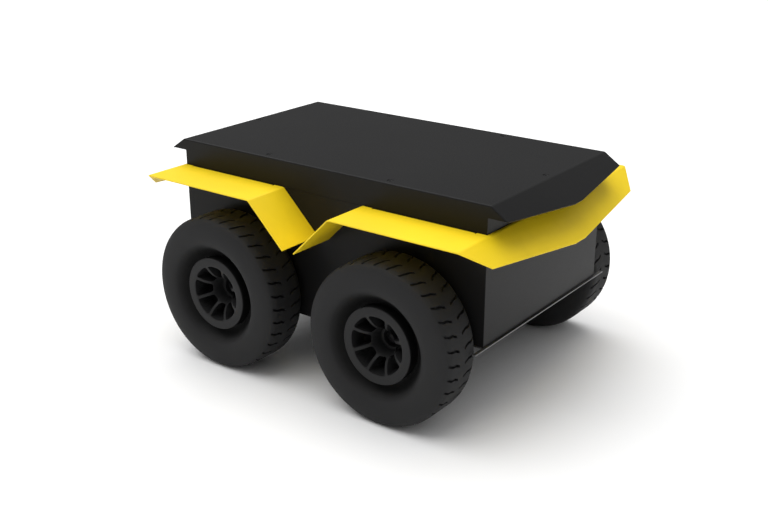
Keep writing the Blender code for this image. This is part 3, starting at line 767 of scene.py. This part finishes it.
def nut_mesh():
    """Hexagon nut with chamfered corners on both faces."""
    low, across = HUB_FRONT + GAP, NUT_RADIUS
    high = low + NUT_HEIGHT
    nut = helper(pushed_outline("hexagon_nut", [hexagon_outline(across)], low, high))
    flat = across * 0.90
    inner, outer, over, under = flat - 0.0017, across + 0.001, 0.001, 0.0007
    crown_profile = [(0.0, high + over), (inner, high + over), (outer, high - under),
                     (outer, low + under), (inner, low - over), (0.0, low - over)]
    cut(nut, turned("nut_crown", crown_profile, 48, closed=False), "INTERSECT")
    bore = [(0.0, high + 0.01), (NUT_BORE_RADIUS, high + 0.01), (NUT_BORE_RADIUS, low - 0.01),
            (0.0, low - 0.01)]
    cut(nut, turned("nut_bore", bore, 48, closed=False))
    bevel_modifier(nut, 0.0002, 2, 40)
    return smooth(baked(nut), 32)


def bearing_mesh():
    """Flanged bearing housing with a rubber seal lip, from the wall outwards."""
    wall = HALF_WIDTH + GAP
    profile = [(BEARING_NOSE_RADIUS, wall + BEARING_NOSE),
               (BEARING_NOSE_RADIUS, wall + BEARING_FLANGE),
               (BEARING_RADIUS, wall + BEARING_FLANGE), (BEARING_RADIUS, wall),
               (BORE_OVER_SHAFT, wall), (BORE_OVER_SHAFT, wall + SEAL_DEPTH),
               (SEAL_RADIUS, wall + SEAL_DEPTH), (SEAL_RADIUS, wall + BEARING_NOSE)]
    radii = [0.0010, 0.0016, 0.0010, 0.0003, 0.0003, 0.0004, 0.0004, 0.0003]
    return smooth(turned("bearing_housing", rounded(profile, radii, 3), 64), 32)


def build_wheels():
    shaft_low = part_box("drive_shaft_front_left")[0]
    tyre_low, tyre_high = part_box("tyre_front_left")
    middle_y = (tyre_low.y + tyre_high.y) / 2
    kinds = {
        "tyre": ("tyre", tyre_mesh(), RUBBER, "tyre_rubber"),
        "rim": ("rim", rim_mesh(), RIM_PLASTIC, "rim_plastic"),
        "hub": ("hub", hub_mesh(), OXIDE, "dark_steel"),
        "shaft": ("drive_shaft", shaft_mesh(shaft_low.y - middle_y), OXIDE, "dark_steel"),
        "nut": ("axle_nut", nut_mesh(), OXIDE, "dark_steel"),
    }
    for corner in CORNERS:
        low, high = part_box(f"tyre_{corner}")
        centre = (low + high) / 2
        for kind, (node, mesh, mat, slot) in kinds.items():
            piece = mesh_object(f"wheel_{kind}_{corner}", mesh, mat)
            lay_on_axle(piece, corner, centre)
            stand_for(piece, f"{node}_{corner}", f"wheel_{corner}")
        housing = mesh_object(f"bearing_housing_{corner}", BEARING, OXIDE)
        lay_on_axle(housing, corner, Vector((centre.x, 0, centre.z)))
        stand_for(housing, f"axle_bearing_{corner}", "chassis")


# ---------------------------------------------------------------- fasteners
def hexagon_outline(radius):
    return [(radius * math.cos(math.radians(60 * i)), radius * math.sin(math.radians(60 * i)))
            for i in range(6)]


def socket_screw_mesh(name, profile, radii, socket_radius, socket_floor):
    """A turned screw with a hexagon socket in its head."""
    screw = helper(turned(name, rounded(profile, radii, 3), 40, closed=True))
    socket = pushed_outline("hexagon_socket", [hexagon_outline(socket_radius)], socket_floor, 0.02)
    cut(screw, socket)
    bevel_modifier(screw, 0.00012, 2, 45)
    return smooth(baked(screw), 32)


def axis_safe(profile):
    """Keeps a profile's end points a hair off the axis, so that its corners can be rounded."""
    return [(max(radius, 0.00002), height) for radius, height in profile]


def build_fasteners():
    low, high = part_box("cover_screw_1")
    head, shank, length = 0.0045, 0.0025, high.z - low.z
    rim, sunk = head - 0.0012, -0.0010
    flat = axis_safe([(0.0, sunk), (rim, sunk), (rim, sunk - 0.0001), (shank, -0.0018),
                      (shank, -length), (0.0, -length)])
    mesh = socket_screw_mesh("flat_head_screw", flat, [0, 0.0002, 0, 0.0002, 0.0003, 0], 0.0017,
                             -0.0016)
    for number in range(1, 7):
        low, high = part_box(f"cover_screw_{number}")
        screw = mesh_object(f"deck_screw_{number}", mesh, OXIDE)
        screw.location = ((low.x + high.x) / 2, (low.y + high.y) / 2, DECK)
        screw.rotation_euler = (0, 0, 0.35 * number)
        stand_for(screw, f"cover_screw_{number}", "chassis")
    head, high_side = 0.0048, 0.0028
    button = axis_safe([(0.0, high_side), (head * 0.55, high_side), (head, high_side * 0.4),
                        (head, 0.0), (shank, 0.0), (shank, -0.014), (0.0, -0.014)])
    mesh = socket_screw_mesh("button_head_bolt", button,
                             [0, 0.0012, 0.0009, 0.0002, 0.0002, 0.0003, 0], 0.0016, 0.0009)
    for corner, (_, side) in CORNERS.items():
        for number in (1, 2):
            node = f"fender_bolt_{corner}_{number}"
            low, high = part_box(node)
            under = side * (HALF_WIDTH + GAP + SHEET + GAP)
            bolt = mesh_object(f"flange_bolt_{corner}_{number}", mesh, ZINC)
            lay_on_axle(bolt, corner, Vector(((low.x + high.x) / 2, under, (low.z + high.z) / 2)))
            stand_for(bolt, node, "chassis")


# ---------------------------------------------------------------- CAD pieces that stay
def finish_cad_nodes():
    """Edge radii and finishes for the CAD pieces whose shape is shown as it is."""
    looks = {
        "tub": (BLACK, 0.0006), "deck_frame": (PRIMER, 0.0006),
        "skid_plate_front": (SKID_METAL, 0.0003), "skid_plate_rear": (SKID_METAL, 0.0003),
        "motor_cradle_front": (CRADLE_METAL, 0.0006), "motor_cradle_rear": (CRADLE_METAL, 0.0006),
        "battery": (BATTERY_CASE, 0.0030), "battery_tray": (ALUMINIUM, 0.0004),
        "battery_strap": (STRAP, 0.0004), "computer": (BOX_PLASTIC, 0.0004),
        "motor_controller_front": (BOX_PLASTIC, 0.0004),
        "motor_controller_rear": (BOX_PLASTIC, 0.0004), "fuse_block": (BOX_PLASTIC, 0.0004),
    }
    for corner in CORNERS:
        looks[f"gearmotor_{corner}"] = (MOTOR_STEEL, 0.0004)
    for name, (mat, width) in looks.items():
        node = NODES[name]
        node.data.materials.clear()
        node.data.materials.append(mat)
        weld = node.modifiers.new("weld", "WELD")
        weld.merge_threshold = 0.00001
        flat = node.modifiers.new("flat_faces", "DECIMATE")
        flat.decimate_type = "DISSOLVE"
        flat.angle_limit = math.radians(0.3)
        bevel_modifier(node, width, 3, 40)


# ---------------------------------------------------------------- stage, light, camera
def build_stage():
    g = Graph("studio_floor")
    mottle = g.noise(3.0, 4.0, 0.5)
    normal = g.bump(g.noise(240.0, 3.0, 0.6), 0.0001, 0.2)
    mat = g.finish(g.blend(mottle, (0.93, 0.93, 0.93), (0.95, 0.95, 0.95)),
                   g.spread(mottle, 0.85, 0.95), normal, Specular_IOR_Level=0.1)
    bm = bmesh.new()
    bmesh.ops.create_circle(bm, cap_ends=True, radius=60.0, segments=96)
    floor = mesh_object("studio_floor", mesh_from(bm, "studio_floor"), mat)


def build_light():
    """Soft light that comes mostly from overhead and fades towards the horizon."""
    world = bpy.data.worlds.new("studio")
    world.use_nodes = True
    nodes, links = world.node_tree.nodes, world.node_tree.links
    direction = nodes.new("ShaderNodeTexCoord")
    parts = nodes.new("ShaderNodeSeparateXYZ")
    fade = nodes.new("ShaderNodeMapRange")
    levels = {"From Min": 0.12, "From Max": 0.90, "To Min": 0.07, "To Max": 0.85}
    for socket, value in levels.items():
        fade.inputs[socket].default_value = value
    background = nodes["Background"]
    background.inputs["Color"].default_value = (1.0, 1.0, 1.0, 1.0)
    links.new(direction.outputs["Generated"], parts.inputs[0])
    links.new(parts.outputs["Z"], fade.inputs["Value"])
    links.new(fade.outputs["Result"], background.inputs["Strength"])
    bpy.context.scene.world = world
    sky = bpy.data.lights.new("overhead", "SUN")
    sky.energy = 2.45
    sky.angle = math.radians(76)
    lamp = bpy.data.objects.new("overhead", sky)
    lamp.rotation_euler = (0, math.radians(-18), 0)
    bpy.context.scene.collection.objects.link(lamp)
    bpy.context.scene.view_settings.view_transform = "Standard"


def build_camera():
    camera = bpy.data.cameras.new("camera")
    camera.sensor_width = 36.0
    camera.lens = 50.41
    camera.clip_start = 0.05
    camera.clip_end = 200.0
    holder = bpy.data.objects.new("camera", camera)
    holder.location = (1.0314, -1.3983, 0.8199)
    holder.rotation_euler = (math.radians(90 - 20.9582), 0, math.radians(36.7406))
    bpy.context.scene.collection.objects.link(holder)
    bpy.context.scene.camera = holder


BEARING = bearing_mesh()
build_cover()
build_fenders()
build_wheels()
build_fasteners()
finish_cad_nodes()
build_stage()
build_light()
build_camera()

bpy.context.view_layer.update()
